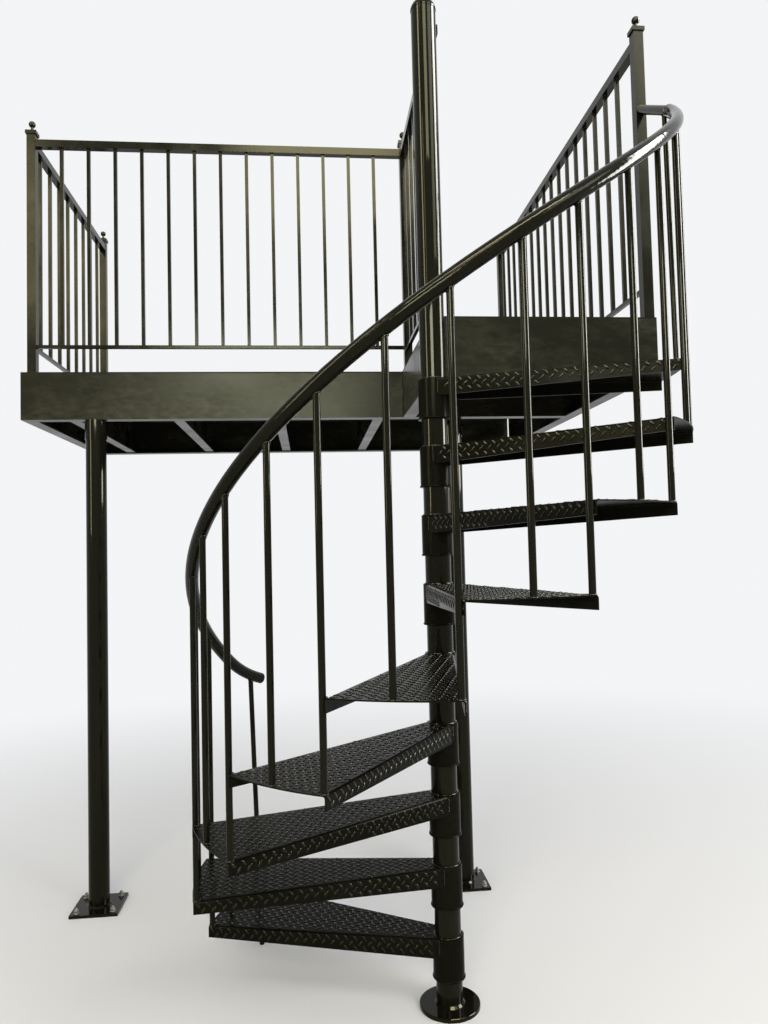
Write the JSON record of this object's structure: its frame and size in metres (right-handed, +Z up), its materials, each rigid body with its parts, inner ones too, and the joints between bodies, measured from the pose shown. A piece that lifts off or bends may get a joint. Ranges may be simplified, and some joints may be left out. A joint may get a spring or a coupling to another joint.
{
  "type": "exterior spiral staircase with balcony",
  "caption": "Welded steel spiral stair: pan treads on a pipe column with round bar balusters, climbing to an L-shaped balcony with guard rails on pipe posts.",
  "frame": {"origin": "centre of the column's base plate, on its underside at ground level", "axes": "+Z up along the column, +Y towards the wall that the balcony is fixed to, +X along that wall to the right as seen from the stair"},
  "size_m": [2.5459, 3.0136, 3.522],
  "materials": {
    "column_enamel": "gloss black enamel on steel pipe",
    "tread_enamel": "gloss black enamel on raised-pattern floor plate",
    "handrail_enamel": "gloss black enamel, worn smooth on top",
    "bar_enamel": "gloss black enamel on round bar",
    "guard_enamel": "semi-gloss black enamel on square tube and bar",
    "deck_enamel": "semi-gloss black enamel on raised-pattern floor plate",
    "beam_enamel": "semi-gloss black enamel on rolled channel, lightly mottled"
  },
  "bodies": {
    "root": {"balcony_deck": "deck_enamel", "balusters_1": "bar_enamel", "balusters_2": "bar_enamel", "balusters_3": "bar_enamel", "balusters_4": "bar_enamel", "balusters_5": "bar_enamel", "balusters_6": "bar_enamel", "balusters_7": "bar_enamel", "balusters_8": "bar_enamel", "base_plate": "column_enamel", "center_column": "column_enamel", "column_cap": "column_enamel", "first_baluster": "bar_enamel", "front_beam": "beam_enamel", "guard_panel_front": "guard_enamel", "guard_panel_landing_side": "guard_enamel", "guard_panel_left": "guard_enamel", "guard_panel_right": "guard_enamel", "guard_post_corner": "guard_enamel", "guard_post_front_left": "guard_enamel", "guard_post_landing": "guard_enamel", "guard_post_wall_left": "guard_enamel", "guard_post_wall_right": "guard_enamel", "handrail": "handrail_enamel", "joists": "beam_enamel", "landing_deck": "deck_enamel", "landing_fascia": "beam_enamel", "landing_side_beam": "beam_enamel", "last_baluster": "bar_enamel", "left_end_beam": "beam_enamel", "post_foot_plates": "column_enamel", "right_front_beam": "beam_enamel", "right_rear_beam": "beam_enamel", "support_post_left": "column_enamel", "support_post_right": "column_enamel", "tread_1": "tread_enamel", "tread_2": "tread_enamel", "tread_3": "tread_enamel", "tread_4": "tread_enamel", "tread_5": "tread_enamel", "tread_6": "tread_enamel", "tread_7": "tread_enamel", "tread_8": "tread_enamel", "tread_9": "tread_enamel", "wall_ledger": "beam_enamel"}
  },
  "joints": []
}
